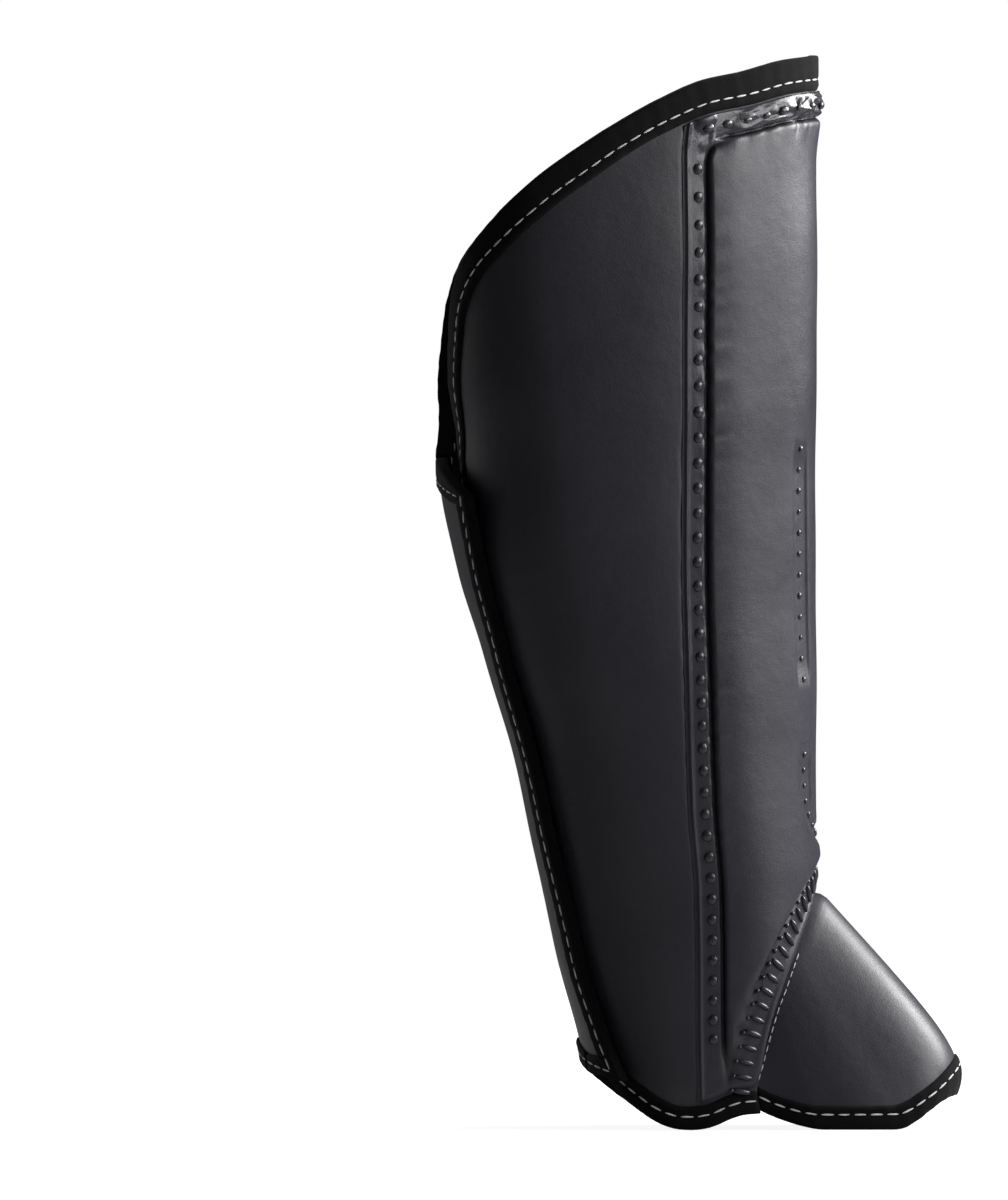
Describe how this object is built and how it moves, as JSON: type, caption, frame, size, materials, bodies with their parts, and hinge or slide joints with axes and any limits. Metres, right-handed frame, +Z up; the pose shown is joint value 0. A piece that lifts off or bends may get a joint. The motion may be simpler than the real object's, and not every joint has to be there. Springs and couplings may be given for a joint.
{
  "type": "safety leg guard",
  "caption": "Black leather shin and instep guard: wrap-around panel, padded welded facing, flared instep flap, bound edges and a tab that closes over the back.",
  "frame": {"origin": "middle of the overall box, at the level of the hem that it stands on", "axes": "+Z up along the shin to the crest of the front, +X forward over the toes, the closing tab lies on the -Y side"},
  "size_m": [0.1965, 0.1356, 0.4001],
  "materials": {
    "leather": "soft sheen, fine grain",
    "leather_facing": "soft sheen, pressed and welded over pads",
    "leather_flap": "soft sheen, fine grain",
    "binding": "matte woven tape with white lock stitch",
    "hook_tape": "matte hook-and-loop tape"
  },
  "bodies": {
    "root": {"body_panel": "leather", "closure_tape": "hook_tape", "flap_binding": "binding", "front_facing": "leather_facing", "hem_binding_far": "binding", "hem_binding_near": "binding", "metatarsal_flap": "leather_flap", "tab_binding": "binding", "top_binding": "binding"}
  },
  "joints": []
}
